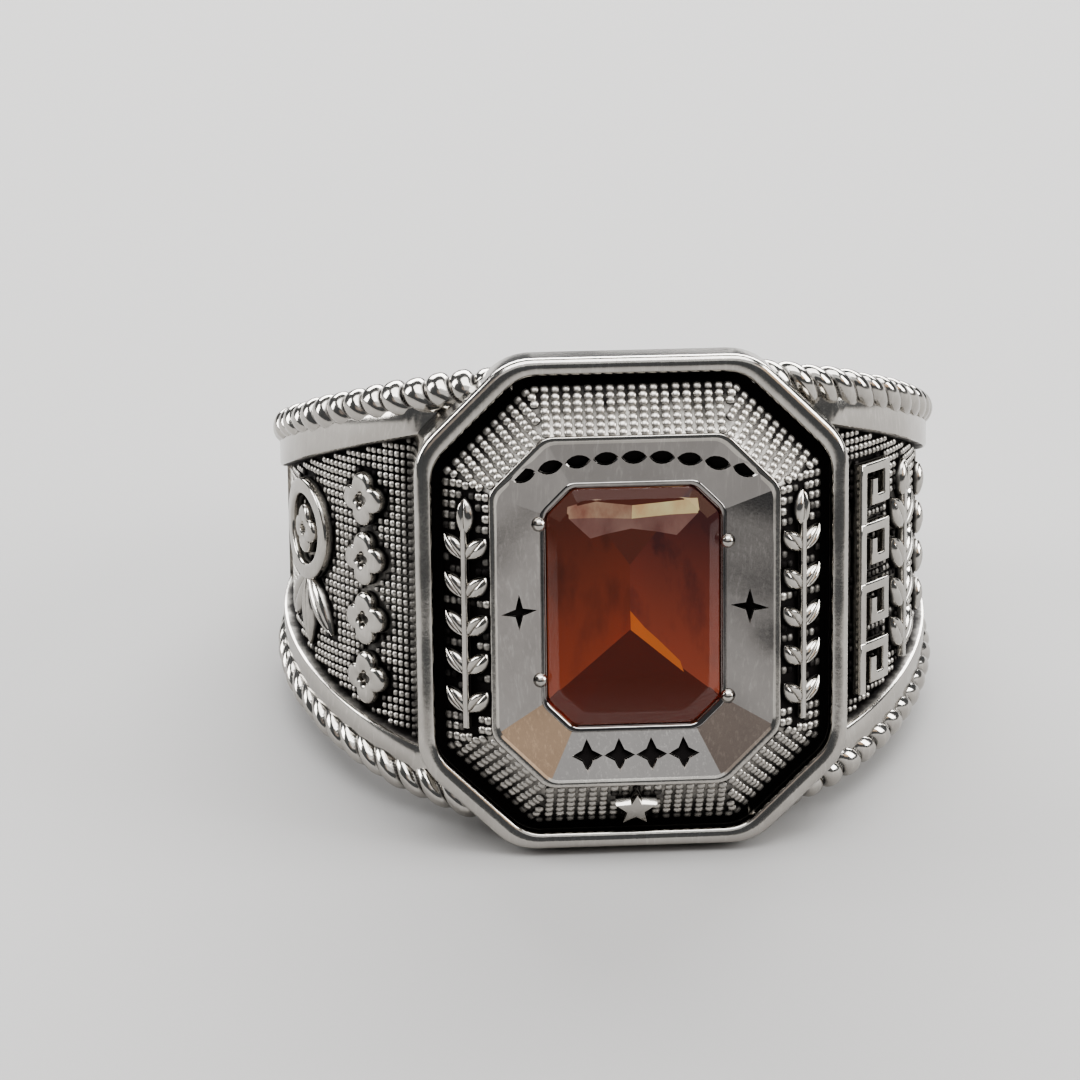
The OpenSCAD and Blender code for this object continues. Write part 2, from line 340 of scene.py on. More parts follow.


# Sterling silver, cast, oxidised and buffed back: bright where a cloth reaches, black in the recesses, darker
# where the worn attribute carries painted shade, with painted glints on the strongest scratches.
def silverMaterial(name):
    look = silverLook
    roughness, scratches, grain, clean, handled = look["finishes"][name]
    thin = look["scratchThin"]
    material, tree = newMaterial(name)
    coords = addNode(tree, "TexCoord", {}).outputs["Object"]
    # the worn attribute: oxide left in the recesses, and in a few places painted shade
    worn = addNode(tree, "Attribute", {}, attribute_name="worn").outputs["Fac"]
    patches = addNode(tree, "TexNoise", {"Vector": coords, "Scale": 1000 / look["patchMm"],
                                         "Detail": 4.0, "Roughness": 0.6})
    edge = addNode(tree, "Math", {0: patches, 1: 0.5, 2: -0.25}, operation="MULTIPLY_ADD")
    level = addNode(tree, "Math", {0: worn, 1: edge}, operation="ADD", use_clamp=True)
    buffed = addNode(tree, "MapRange", {"Value": level, "From Min": look["buffed"][0],
                                        "From Max": look["buffed"][1]}, interpolation_type="SMOOTHSTEP")
    clouds = addNode(tree, "TexNoise", {"Vector": coords, "Scale": 1000 / look["cloudMm"],
                                        "Detail": 5.0, "Roughness": 0.65})
    tone = addNode(tree, "Mix", {"Factor": clouds, "A": hexColour(look[clean]),
                                 "B": hexColour(look[handled])}, data_type="RGBA")
    colour = addNode(tree, "Mix", {"Factor": buffed, "A": hexColour(look["oxide"]), "B": tone},
                     data_type="RGBA")
    # fine scratches: noise pulled out along one direction, in two directions
    lines = []
    streaks = []
    for turn in look["scratchTurns"]:
        stretched = addNode(tree, "Mapping", {"Vector": coords, "Rotation": (-restTilt, turn, 0.0),
                                              "Scale": (thin, thin, 1.0)})
        lines.append(addNode(tree, "TexNoise", {"Vector": stretched, "Scale": 1000 / look["scratchMm"],
                                                "Detail": 3.0, "Roughness": 0.7}))
        streaks.append(addNode(tree, "MapRange", {"Value": lines[-1], "From Min": look["glintStreak"][0],
                                                  "From Max": look["glintStreak"][1]}))
    relief = addNode(tree, "Math", {0: lines[0], 1: lines[1]}, operation="ADD")
    swells = addNode(tree, "TexNoise", {"Vector": coords, "Scale": 1000 / look["waveMm"], "Detail": 0.0})
    pits = addNode(tree, "TexNoise", {"Vector": coords, "Scale": 1000 / look["grainMm"], "Detail": 3.0})
    waves = addNode(tree, "Bump", {"Height": swells, "Strength": look["wave"], "Distance": 0.0001})
    scored = addNode(tree, "Bump", {"Height": relief, "Strength": scratches * 0.5, "Distance": 0.00002,
                                    "Normal": waves})
    grained = addNode(tree, "Bump", {"Height": pits, "Strength": grain, "Distance": 0.00002,
                                     "Normal": scored})
    # painted glints: the strongest scratches on bright metal are painted in a lighter colour
    glintStreak = addNode(tree, "Math", {0: streaks[0], 1: streaks[1]}, operation="MAXIMUM")
    onMetal = addNode(tree, "Math", {0: glintStreak, 1: buffed}, operation="MULTIPLY")
    share = addNode(tree, "Math", {0: onMetal, 1: scratches}, operation="MULTIPLY")
    glinted = addNode(tree, "Mix", {"Factor": share, "A": colour, "B": hexColour(look["scratchGlint"])},
                        data_type="RGBA")
    rough = addNode(tree, "MapRange", {"Value": buffed, "From Min": 0.0, "From Max": 1.0,
                                       "To Min": look["oxideRoughness"], "To Max": roughness})
    clouded = addNode(tree, "Math", {0: clouds, 1: look["cloudDull"], 2: rough},
                      operation="MULTIPLY_ADD", use_clamp=True)
    shader = addNode(tree, "BsdfPrincipled", {"Base Color": glinted, "Metallic": 1.0,
                                              "Roughness": clouded, "Normal": grained})
    addNode(tree, "OutputMaterial", {"Surface": shader})
    return material


stoneLook = {
    "body": "#ffdccb",
    "index": 1.55,
    "shine": 0.2,             # a handled table mirrors less than a clean one
    "roughness": 0.02,
    "wearMm": 0.4,            # grain of the rubbed table
    "facetRoughness": 0.22,
    "cloudMm": 2.4,           # length of the uneven light inside a facet
    "cloudThin": 2.2,         # how many times longer than wide it is
    "clouding": [1.6, -0.8],  # its contrast and level
    "reflectionMottling": [3.0, -1.0],  # the same in the painted reflections
    "zoneMm": [6.0, 12.0],    # heights between which a facet goes from its first colour to its second, painted shade that on most facets darkens it towards the top
    "return": "#a8462e",      # what comes back from outside has passed the body twice
    # each facet's two colours are painted light and shade for how the light falls on it; the last number is a
    # painted glow, as a share of the facet's own colour, standing in for the light that many inner turns
    # gather
    "facets": {"left": ["#894b38", "#55342c", 0.79], "right": ["#925341", "#4a3031", 0.79],
               "top": ["#5e3a32", "#5c3931", 0.78], "bottom": ["#563129", "#542f2b", 0.73],
               "amber": ["#c07c48", "#b46c3c", 0.7], "cream": ["#c8d4a8", "#baa886", 0.9],
               "olive": ["#a49c89", "#7e5c54", 0.9], "blush": ["#816e6a", "#6a5250", 0.9]},
    # cream, olive and blush are painted reflections on the stone's underside
    "reflectionPatches": ["cream", "olive", "blush"],
}


# Synthetic orange-red stone: clear enough to see its keel, with a hard glassy shine.
def stoneMaterial():
    look = stoneLook
    material, tree = newMaterial("synthetic orange-red stone")
    coords = addNode(tree, "TexCoord", {}).outputs["Object"]
    wear = addNode(tree, "TexNoise", {"Vector": coords, "Scale": 1000 / look["wearMm"], "Detail": 4.0})
    bump = addNode(tree, "Bump", {"Height": wear, "Strength": 0.04, "Distance": 0.00001})
    shader = addNode(tree, "BsdfPrincipled", {"Base Color": hexColour(look["body"]), "IOR": look["index"],
                                              "Roughness": look["roughness"],
                                              "Specular IOR Level": look["shine"],
                                              "Transmission Weight": 1.0, "Normal": bump})
    addNode(tree, "OutputMaterial", {"Surface": shader})
    return material


# Foil-backed facets under the stone: each throws its own orange, red-brown or maroon back through the body.
# Each facet's colour is painted light and shade, and each has a painted glow.
def facetMaterial(name):
    look = stoneLook
    near, far, glow = look["facets"][name]
    low, high = look["zoneMm"]
    reflectionPatches = name in look["reflectionPatches"]
    contrast, level = look["reflectionMottling" if reflectionPatches else "clouding"]
    material, tree = newMaterial("foil-backed facet with painted light, " + name)
    coords = addNode(tree, "TexCoord", {}).outputs["Object"]
    stretched = addNode(tree, "Mapping", {"Vector": coords, "Scale": (look["cloudThin"], 1.0, 1.0)})
    clouds = addNode(tree, "TexNoise", {"Vector": stretched, "Scale": 1000 / look["cloudMm"],
                                        "Detail": 6.0, "Roughness": 0.6})
    shade = addNode(tree, "Math", {0: clouds, 1: contrast, 2: level},
                    operation="MULTIPLY_ADD", use_clamp=True)
    if not reflectionPatches:
        height = addNode(tree, "SeparateXYZ", {"Vector": coords}).outputs["Z"]
        zone = addNode(tree, "MapRange", {"Value": height, "From Min": low / 1000, "From Max": high / 1000})
        shade = addNode(tree, "Math", {0: zone, 1: shade}, operation="ADD", use_clamp=True)
    colour = addNode(tree, "Mix", {"Factor": shade, "A": hexColour(near), "B": hexColour(far)},
                     data_type="RGBA")
    returned = addNode(tree, "Mix", {"Factor": 1.0, "A": colour, "B": hexColour(look["return"])},
                       data_type="RGBA", blend_type="MULTIPLY")
    # painted glow: the facet gives off its own colour, though it is no lamp
    shader = addNode(tree, "BsdfPrincipled", {"Base Color": returned, "Metallic": 1.0,
                                              "Roughness": look["facetRoughness"],
                                              "Emission Color": colour, "Emission Strength": glow})
    addNode(tree, "OutputMaterial", {"Surface": shader})
    return material


polished, scuffed, cast = [silverMaterial(name) for name in silverLook["finishes"]]
stoneFinishes = [stoneMaterial()] + [facetMaterial(name) for name in stoneLook["facets"]]
print("materials made")

# the camera: its angles are measured on the hoop, before the ring is laid down
cameraFit = {
    "distance": 160.0,        # from the finger's axis
    "azimuth": -4.8,          # degrees
    "elevation": 13.0,
    "lens": 137.53,
    "roll": -0.008,           # radians, as are the two that follow
    "aimRight": -0.015,
    "aimUp": -0.004,
}


def makeCamera():
    fit = cameraFit
    az = math.radians(fit["azimuth"])
    el = math.radians(fit["elevation"])
    spot = Vector((math.sin(az) * math.cos(el), -math.cos(az) * math.cos(el), math.sin(el))) * fit["distance"]
    ahead = -spot.normalized()
    right = ahead.cross(Vector((0, 0, 1))).normalized()
    up = right.cross(ahead)
    aim = (ahead + right * fit["aimRight"] + up * fit["aimUp"]).normalized()
    right = aim.cross(up).normalized()
    up = right.cross(aim)
    c, s = math.cos(fit["roll"]), math.sin(fit["roll"])
    axes = [right * c + up * s, up * c - right * s, -aim]
    turn = Matrix([turned(a) for a in axes]).transposed().to_4x4()
    data = bpy.data.cameras.new("photo camera")
    data.lens = fit["lens"]
    data.sensor_width = 36
    data.clip_start = 0.01
    camera = bpy.data.objects.new("photo camera", data)
    camera.matrix_world = Matrix.Translation(place(spot)) @ turn
    bpy.context.scene.collection.objects.link(camera)
    bpy.context.scene.camera = camera


makeCamera()

# the shank: one loft round the hoop, its shoulders widening to the bezel, panels sunk in both
shank = {
    "railInset": 1.98,        # from the band's side to the panel
    "panelDepth": 0.45,
    "panelEnd": 102,          # degrees from the bezel's centre
    "endWall": [0.01, 0.12],  # the panel's end wall rises between these degrees round it
    "underBezel": 12.2,       # the hidden part stays under the bezel's channel
    "underStone": 10.9,       # and its middle under the stone's seat
    "facetFall": 0.28,        # the small facet beside the bezel's cut corners falls back from the rail
    "step": 1.5,
    "plain": 0.95,            # how far the plain parts are worn bright
    "clean": 0.8,             # what is worn less than this is so only in a panel or under a rope
    "ground": [0.42, 0.12],   # worn in the middle of a panel's ground and at its edge
    # rows from the panel's edge up to the rail: how far below its face, how far out from the panel, worn
    "railEdge": [[0.12, 0.0, 0.35], [0.03, 0.03, 0.9], [0.0, 0.11, 1.0]],
    # rows round the side under the rope: how far below the rail, how far in from the side, worn
    "side": [[0.0, 1.05, 0.95], [0.05, 0.92, 0.35], [0.12, 0.35, 0.2], [0.34, 0.1, 0.6], [0.62, 0.02, 0.85]],
    "sideFoot": 0.45,         # the side is straight from this share of the wall down
    "boreEase": 0.28,
    "boreRound": [[1.0, 0.0], [0.55, 0.1], [0.2, 0.35], [0.0, 1.0]],    # shares of the ease, out and in
}
panelRadius = railRadius - shank["panelDepth"]


def bandPoint(radius, angle, z):
    # radii from the bore to the rail follow centres that move from the finger's axis to the band's own
    share = min(1.0, (radius - hoop["bore"]) / (railRadius - hoop["bore"]))
    return (radius * math.sin(angle), -bandShift * share - radius * math.cos(angle), z)


def shankSection(degrees):
    look = shank
    inner, ease, plain = hoop["bore"], look["boreEase"], look["plain"]
    angle = math.radians(degrees)
    inPanel = abs(degrees) < look["panelEnd"]
    byRope = abs(degrees) < rope["end"] - rope["clean"]
    depth = look["panelDepth"] if inPanel else 0.0

    def row(radius, inset, worn, sheltered=True):
        across = bandHalf(bandPoint(radius, angle, 0)[1]) - inset
        return (radius, across, worn if sheltered or worn > look["clean"] else plain)

    middle, edge = look["ground"]
    rows = [(railRadius - depth, 0.0, middle if inPanel else plain),
            row(railRadius - depth, look["railInset"], edge, inPanel)]
    rows += [row(railRadius - min(depth, fall), look["railInset"] - out, worn, inPanel)
             for fall, out, worn in look["railEdge"]]
    rows += [row(railRadius - fall, inset, worn, byRope) for fall, inset, worn in look["side"]]
    rows.append(row(mix(inner, railRadius, look["sideFoot"]), 0.0, plain))
    rows += [row(inner + ease * out, ease * inset, plain) for out, inset in look["boreRound"]]
    rows.append((inner, 0.0, plain))
    rows += [(radius, -across, worn) for radius, across, worn in reversed(rows[1:-1])]
    last = len(rows) - 1
    side = bezelSizes["head"][0]
    corner = bandShift + math.sqrt(railRadius ** 2 - side ** 2)
    points = []
    for k, (radius, across, _) in enumerate(rows):
        x, y, z = bandPoint(radius, angle, across)
        y = max(y, -look["underStone" if k < 2 or k == last else "underBezel"])
        onRail = k < 6 or k > last - 5
        if onRail and abs(x) < side - 0.02 and y < 0:
            y = max(y, -corner - look["facetFall"] * (side - abs(x)))
        points.append((x, y, z))
    slots = [0] * len(rows)
    slots[0] = slots[-1] = 1 if inPanel else 0
    return points, [worn for _, _, worn in rows], slots


def makeShank():
    end = shank["panelEnd"]
    near, far = shank["endWall"]
    angles = [-180 + shank["step"] * k for k in range(int(360 / shank["step"]))]
    angles += [end - near, end + far, -end + near, -end - far]
    angles = sorted(set(angles) - {end, -end})
    rows, worn, slots = zip(*[shankSection(a) for a in angles])
    piece = newPiece()
    addLoft(piece, rows, worn, closedRun=True, slots=slots)
    makePiece(piece, "shank", [polished, cast], sharpDegrees=32)


# rope edges: rounded knuckles that wrap over both edges of both shoulders
rope = {
    "radius": 0.72,
    "pitch": 1.04,
    "proud": 0.26,
    "strands": 2,             # how many knuckles a strand passes in one turn round the rope
    "sweep": 0.2,             # strands lean more where they run out on the rail
    "grooveDepth": 0.4,       # of the knuckle's radius
    "barrel": 2.6,            # above 2 the knuckles are flatter and the grooves narrower
    "startX": 4.2,            # hidden in the bezel
    "fadeFrom": 102,          # degrees from the bezel's centre
    "end": 119,
    "endShrink": 0.5,         # share of its radius that a rope loses where it runs out
    "endSink": -0.3,          # and how far it sinks in, as a share of how proud it stands
    "clean": 3,               # the band is buffed clean over the rope's last degrees
    "swell": [0.95, 1.03],    # no two knuckles are quite alike
    "samplesPerKnuckle": 16,
    "around": 36,
}
ropeReach = railRadius + rope["proud"]


def makeRope():
    look = rope
    piece = newPiece()
    chance = random.Random(3)
    perKnuckle = math.degrees(look["pitch"] / ropeReach)
    first = math.degrees(math.asin(look["startX"] / ropeReach))
    middle = math.degrees(math.asin((bezelSizes["head"][0] - bezelSizes["head"][2]) / ropeReach))
    middle += perKnuckle / 2
    count = int((look["end"] - first) / perKnuckle * look["samplesPerKnuckle"])
    for side in (-1, 1):
        for edge in (-1, 1):
            rows = []
            worn = []
            swell = [chance.uniform(*look["swell"]) for _ in range(60)]
            for i in range(count + 1):
                degrees = first + (look["end"] - first) * i / count
                angle = math.radians(degrees)
                fade = max(0.0, (degrees - look["fadeFrom"]) / (look["end"] - look["fadeFrom"]))
                run = (degrees - middle) / perKnuckle
                core = look["radius"] * (1 - look["endShrink"] * fade ** 2)
                proud = look["proud"] * mix(1, look["endSink"], fade ** 1.5)
                at = railRadius + proud - core
                along = bandHalf(-bandShift - at * math.cos(angle)) + proud - core
                row = []
                wornRow = []
                for k in range(look["around"]):
                    psi = math.pi * (2 * k / look["around"] - 1)
                    phase = run + side * edge * (look["strands"] * psi / (2 * math.pi)
                                                 + look["sweep"] * math.cos(psi))
                    offset = abs(phase - round(phase)) * 2
                    groove = look["grooveDepth"] * offset ** look["barrel"]
                    radius = core * swell[round(phase) + 5] * (1 - groove)
                    reach = at + radius * math.cos(psi)
                    row.append((side * reach * math.sin(angle), -bandShift - reach * math.cos(angle),
                                edge * (along + radius * math.sin(psi))))
                    wornRow.append(mix(0.05, 1.0, min(1.0, (1 - offset ** 3) * 1.3)))     # dark grooves
                rows.append(row)
                worn.append(wornRow)
            addLoft(piece, rows, worn, capEnds=True)
    makePiece(piece, "rope_edges", [polished], sharpDegrees=75)


makeShank()
makeRope()

# the bezel: wall, rounded rim, black channel, sloping border and the plate's lip, in one loft
bezelLook = {
    "planRound": 2.2,         # rounding of the octagons' corners in plan
    "lipRound": 0.9,
    "footRound": 0.9,
    "rimEase": 0.31,          # and of the rim's edge
    "buffedTo": 0.42,         # a cloth reaches this far down inside the rim
    "lipStep": 0.09,          # the lip stands this far above the border
    "boreClear": 0.05,        # the block starts just outside the finger hole
    "deepest": 7.95,          # and reaches down beside it to here
    "groundWorn": 0.05,       # the ground beside the sprigs stays black
}


def halfLengthAt(height):
    # the wall below the foot turns in to the finger
    return bezelSizes["head"][1] - bezelSizes["wallTurn"] * (wallFoot - height)


def makeBezel():
    look = bezelLook
    head = bezelSizes["head"]
    ease = look["rimEase"]
    inRound = look["planRound"] - bezelSizes["rimWidth"]
    step = look["lipStep"]
    rows = [
        (head + [wallFoot, look["planRound"], 0.85], 0),
        (head + [wallFoot + 0.06, look["planRound"], 0.9], 0),
        (head + [rimTop, look["planRound"], 1.0], ease),
        (rimInner + [rimTop, inRound, 1.0], ease),
        (rimInner + [rimTop - look["buffedTo"], inRound, 0.8], 0),
        (rimInner + [channelFloor, inRound, 0.0], 0.03),
        (foot + [channelFloor, look["footRound"], 0.0], 0.03),
        (foot + [slopeFoot, look["footRound"], 0.15], 0.04),
        (insetBy(plate, -0.02) + [plateTop - step, look["lipRound"], 0.48], 0.02),
        (plate + [plateTop, look["lipRound"], 1.0], 0.05),
        (lipInner + [plateTop, look["lipRound"] - 0.1, 1.0], 0.04),
        (insetBy(lipInner, 0.1) + [plateTop - 0.06, look["lipRound"] - 0.15, 0.8], 0),
    ]
    profile = easedProfile(rows)
    piece = newPiece()
    # inside the rim, what stays dark is as cast
    asCast = [1 if a[0] <= rimInner[0] + 0.02 and (a[6] + b[6]) / 2 < 0.45 else 0
              for a, b in zip(profile, profile[1:])]
    addOctagonLoft(piece, profile, asCast)
    for k, (x, y, z) in enumerate(piece["points"]):
        if plate[0] < abs(x) < foot[0] + 0.01 and abs(z) < plate[1] - plate[3] and -y < plateTop - step:
            piece["worn"][k] = look["groundWorn"]
    # the wall ends on the bore
    outline = roundedOctagon(head, look["planRound"])
    bore = hoop["bore"] + look["boreClear"]
    bottom = []
    for q in outline:
        h = max(look["deepest"], math.sqrt(max(0.0, bore ** 2 - q.x ** 2)))
        bottom.append(onFace(q.x, math.copysign(min(abs(q.y), halfLengthAt(h)), q.y), h))
    top = [onFace(q.x, q.y, wallFoot) for q in outline]
    addLoft(piece, [bottom, top], [[0.8] * len(top), [0.85] * len(top)])
    # underside: each point of the upper end is joined to the one opposite it at the lower end
    start = len(piece["points"])
    piece["points"] += bottom
    piece["worn"] += [0.7] * len(bottom)
    upper = sorted((k for k in range(len(bottom)) if bottom[k][2] > 0.01), key=lambda k: bottom[k][0])
    opposite = [min(range(len(bottom)), key=lambda j: math.dist(bottom[j], (*bottom[k][:2], -bottom[k][2])))
                for k in upper]
    for a, b, c, d in zip(upper, upper[1:], opposite, opposite[1:]):
        if bottom[b][0] - bottom[a][0] > 0.001:
            addFace(piece, (start + a, start + b, start + d, start + c))
    makePiece(piece, "bezel", [polished, cast], sharpDegrees=40, weighted=True)


makeBezel()


# small domes, joined into one mesh; slightly square in plan, as punched stipple is
domeRings = [[1.0, 0.0, 0.05], [0.9, 0.52, 0.62], [0.6, 0.89, 1.0]]     # shares of radius and height, worn
domeSquare = 1.12


def addDome(piece, centre, normal, across, radius, height, bright, sides=8):
    side = normal.cross(across)
    rows = []
    for share, lift, _ in domeRings:
        rows.append([])
        for k in range(sides):
            a = 2 * math.pi * k / sides
            reach = radius * share * (domeSquare if k % 2 else 1.0)
            rows[-1].append(tuple(centre + (across * math.cos(a) + side * math.sin(a)) * reach
                                  + normal * height * lift))
    addLoft(piece, rows, [[worn * bright] * sides for _, _, worn in domeRings])
    addFan(piece, sides, centre + normal * height, bright)


# raised ornaments: a drawing is (s, t) in millimetres on its ground, and a mapping lifts it by h
def onPanel(side, degrees, along):
    def lift(s, t, h):
        angle = math.radians(side * degrees) + s / panelRadius
        r = panelRadius + h
        return (r * math.sin(angle), -bandShift - r * math.cos(angle), along + t)
    return lift


def slopeSpot(k, out, h):
    # k is 0 on the long sides of the border and 1 on the short ones; out runs away from the plate
    drop = math.atan2(plateTop - slopeFoot, foot[k] - plate[k])
    reach = (foot[k] + plate[k]) / 2 + out + h * math.sin(drop)
    return reach, (plateTop + slopeFoot) / 2 - out * math.tan(drop) + h * math.cos(drop)


def onSlope(side):
    def lift(s, t, h):
        reach, rise = slopeSpot(0, s, h)
        return onFace(side * reach, t, rise)
    return lift


def onLowerSlope(s, t, h):
    reach, rise = slopeSpot(1, -t, h)
    return onFace(s, -reach, rise)


def spotTree(points):
    tree = KDTree(len(points))
    for k, p in enumerate(points):
        tree.insert(p, k)
    tree.balance()
    return tree


# a polishing cloth doesn't reach the stipple right beside raised work, and none shows under it
besideLook = {"bare": 0.14, "from": 0.2, "over": 0.3, "least": 0.3}


def besideWork(works, spot):
    look = besideLook
    gap = works.find(spot)[2]
    return 0 if gap < look["bare"] else min(1.0, mix(look["least"], 1.0, (gap - look["from"]) / look["over"]))


def wornAt(rise):
    # raised work is black at its foot and bright above
    return max(0.0, min(1.0, (rise - 0.2) * 1.5))


def filled(path, step=0.25):
    out = [Vector(path[0])]
    for a, b in zip(path, path[1:]):
        a, b = Vector(a), Vector(b)
        count = max(1, round((b - a).length / step))
        out += [a.lerp(b, (k + 1) / count) for k in range(count)]
    return out


# sections of raised work, as shares of its half width and height
flatTop = [(-1, -0.15), (-1, 0.72), (-0.93, 0.9), (-0.78, 0.98), (-0.5, 1),
           (0.5, 1), (0.78, 0.98), (0.93, 0.9), (1, 0.72), (1, -0.15)]
veined = [(-1, -0.15), (-0.97, 0.45), (-0.78, 0.82), (-0.45, 1), (-0.14, 0.93), (0, 0.74),
          (0.14, 0.93), (0.45, 1), (0.78, 0.82), (0.97, 0.45), (1, -0.15)]


def addStroke(piece, path, halfWidths, height, lift, section=flatTop):
    path = [Vector(p) for p in path]
    rows = []
    for i, p in enumerate(path):
        before = (p - path[i - 1]).normalized() if i > 0 else (path[1] - p).normalized()
        after = (path[i + 1] - p).normalized() if i < len(path) - 1 else before
        along = (before + after).normalized()
        left = Vector((-along.y, along.x))
        stretch = 1 / max(0.5, along.dot(after))
        tall = height * mix(0.45, 1.0, halfWidths[i] / max(halfWidths))     # lower where it is narrow
        rows.append([lift(*(p + left * a * halfWidths[i] * stretch), b * tall) for a, b in section])
    addLoft(piece, rows, [[wornAt(b) for _, b in section]] * len(rows), closedRow=False, capEnds=True)


def leafEdge(length, width, steps):
    # both edges of a leaf are arcs through its tips
    bow = (length ** 2 / 4 + width ** 2 / 4) / width
    spots = [-length / 2 * math.cos(math.pi * k / steps) for k in range(steps + 1)]
    return [(x, math.sqrt(max(0.0, bow ** 2 - x ** 2)) - (bow - width / 2)) for x in spots]


def addLeaf(piece, centre, degrees, length, width, height, lift, steps=12):
    turn = Matrix.Rotation(math.radians(degrees), 2)
    edge = leafEdge(length, width, steps)
    path = [Vector(centre) + turn @ Vector((x, 0)) for x, _ in edge]
    addStroke(piece, path, [max(0.004, half) for _, half in edge], height, lift, veined)


# shares of the sprig's width, and of its height and of a leaf's step along the stem
sprigLook = {"stem": 0.07, "stemRise": 0.8, "leaf": [0.74, 0.42], "out": 0.25, "up": 0.7, "lean": 36}


def addSprig(piece, length, width, pairs, height, lift):
    look = sprigLook
    long, wide = [share * width for share in look["leaf"]]
    step = length / (pairs + 1)
    stem = filled([(0, -length / 2), (0, length / 2 - step / 2)])
    addStroke(piece, stem, [look["stem"] * width] * len(stem), height * look["stemRise"], lift)
    for i in range(pairs):
        for side in (-1, 1):
            spot = (side * look["out"] * width, step * (i + look["up"]) - length / 2)
            addLeaf(piece, spot, 90 - side * look["lean"], long, wide, height, lift)
    addLeaf(piece, (0, length / 2 - step * 0.5), 90, step, wide, height, lift)


def addRadial(piece, outline, centre, height, lift, levels):
    middle = Vector(centre)
    rows = [[lift(*(middle + (Vector(p) - middle) * share), h * height) for p in outline]
            for share, h in levels]
    addLoft(piece, rows, [[wornAt(h)] * len(outline) for _, h in levels])
    addCap(piece, len(outline))


quatrefoil = {"lobeAt": 0.26, "lobe": 0.23, "middle": 0.15}     # shares of its size


def quatrefoilOutline(size, centre, points=72):
    # four round lobes round a small square set on its corner
    out = []
    far, radius = quatrefoil["lobeAt"] * size, quatrefoil["lobe"] * size
    half = quatrefoil["middle"] * size * math.sqrt(2)
    for k in range(points):
        a = 2 * math.pi * k / points
        b = (a + math.pi / 4) % (math.pi / 2) - math.pi / 4
        r = half / (abs(math.cos(a)) + abs(math.sin(a)))
        if radius ** 2 > (far * math.sin(b)) ** 2:
            r = max(r, far * math.cos(b) + math.sqrt(radius ** 2 - (far * math.sin(b)) ** 2))
        out.append((centre[0] + r * math.cos(a), centre[1] + r * math.sin(a)))
    return out


def starOutline(points, reach, inner, centre=(0, 0)):
    out = []
    for i in range(2 * points):
        a = math.radians(90 + i * 180 / points)
        r = reach if i % 2 == 0 else inner
        out.append((centre[0] + r * math.cos(a), centre[1] + r * math.sin(a)))
    return out


def addRing(piece, centre, radius, halfWidth, height, lift, steps=80):
    rows = []
    for k in range(steps):
        a = 2 * math.pi * k / steps
        outward = Vector((math.cos(a), math.sin(a)))
        rows.append([lift(*(Vector(centre) + outward * (radius + across * halfWidth)), rise * height)
                     for across, rise in flatTop])
    addLoft(piece, rows, [[wornAt(rise) for _, rise in flatTop]] * steps, closedRow=False, closedRun=True)


ornaments = {
    "height": 0.4,
    "rowPitch": 2.25,
    "rowOffset": -0.3,
    "quatrefoil": 2.05,
    "rowAt": [51, 50],        # degrees of the left and right row from the bezel's centre
    "rosetteLength": 6.4,
    "rosetteAt": [71, -0.1],  # degrees, and mm along the finger
    "ringShare": 0.3,         # the ring's radius, of that length
    "ringLine": 0.6,
    "flower": 1.45,           # the flower in it, of the ring's clear radius
    "leafSpread": 42,
    "leafWidth": 0.36,        # of a spread leaf's length
    "hook": 1.95,
    "hookLine": 0.4,
    "sprig": [7.6, 2.2, 4],
    "sprigAt": [63, -0.2],
    "leaf": [1.3, 0.8],
    "leafAt": 76,
    "leafPitch": 1.5,
}
rowSpots = (-1.5, -0.5, 0.5, 1.5)
pillow = [(1.0, -0.1), (1.0, 0.66), (0.95, 0.86), (0.86, 0.96), (0.7, 1.0),
          (0.36, 1.0), (0.3, 0.92), (0.27, 0.5), (0.2, 0.4)]


def makeLeftOrnaments():
    look = ornaments
    piece = newPiece()
    for i in rowSpots:
        lift = onPanel(-1, look["rowAt"][0], i * look["rowPitch"] + look["rowOffset"])
        addRadial(piece, quatrefoilOutline(look["quatrefoil"], (0, 0)), (0, 0), look["height"], lift, pillow)
    # a flower in a ring, with three leaves spread under it
    lift = onPanel(-1, *look["rosetteAt"])
    length, line = look["rosetteLength"], look["ringLine"]
    r = look["ringShare"] * length
    middle = (0, length / 2 - r)
    addRing(piece, middle, r - line / 2, line / 2, look["height"], lift)
    flower = quatrefoilOutline(look["flower"] * (r - line), middle)
    addRadial(piece, flower, middle, look["height"], lift, pillow)
    leaf = length - 2 * r + line / 2
    for turn in (-look["leafSpread"], look["leafSpread"], 0):
        degrees = turn - 90
        ahead = Vector((math.cos(math.radians(degrees)), math.sin(math.radians(degrees))))
        centre = Vector((0, leaf - length / 2)) + ahead * leaf / 2
        addLeaf(piece, centre, degrees, leaf, look["leafWidth"] * leaf, look["height"], lift)
    makePiece(piece, "shoulder_ornaments_left", [polished], sharpDegrees=42)
    return spotTree(piece["points"])


